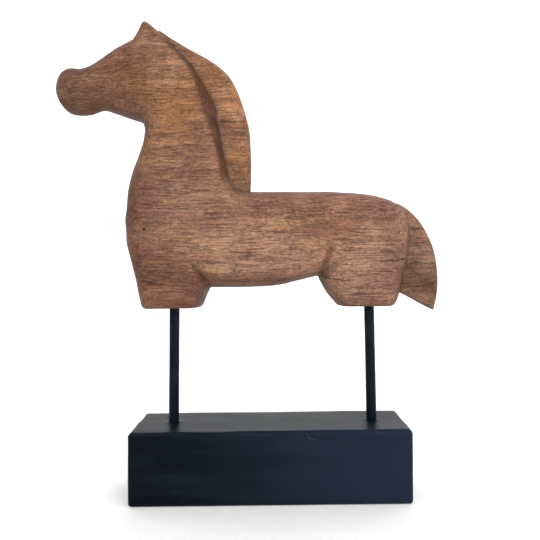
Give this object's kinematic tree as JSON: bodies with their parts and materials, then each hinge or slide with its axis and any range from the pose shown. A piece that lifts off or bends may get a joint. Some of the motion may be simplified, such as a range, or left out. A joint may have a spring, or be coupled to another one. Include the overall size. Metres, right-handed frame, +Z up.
{
  "type": "horse figurine on stand",
  "caption": "Flat-sided carved wooden horse with an upright mane, held above a plain black block by thin black rods set into its leg stubs.",
  "frame": {"origin": "centre of the block's underside", "axes": "+Z up, +X from the horse's head towards its tail, +Y from the viewer's side of the horse to its far side"},
  "size_m": [0.337, 0.086, 0.4165],
  "materials": {
    "block_paint": "satin black paint",
    "horse_wood": "satin waxed",
    "rod_paint": "semi-gloss black"
  },
  "bodies": {
    "root": {"block": "block_paint", "horse": "horse_wood", "front_rod": "rod_paint", "rear_rod": "rod_paint"}
  },
  "joints": []
}
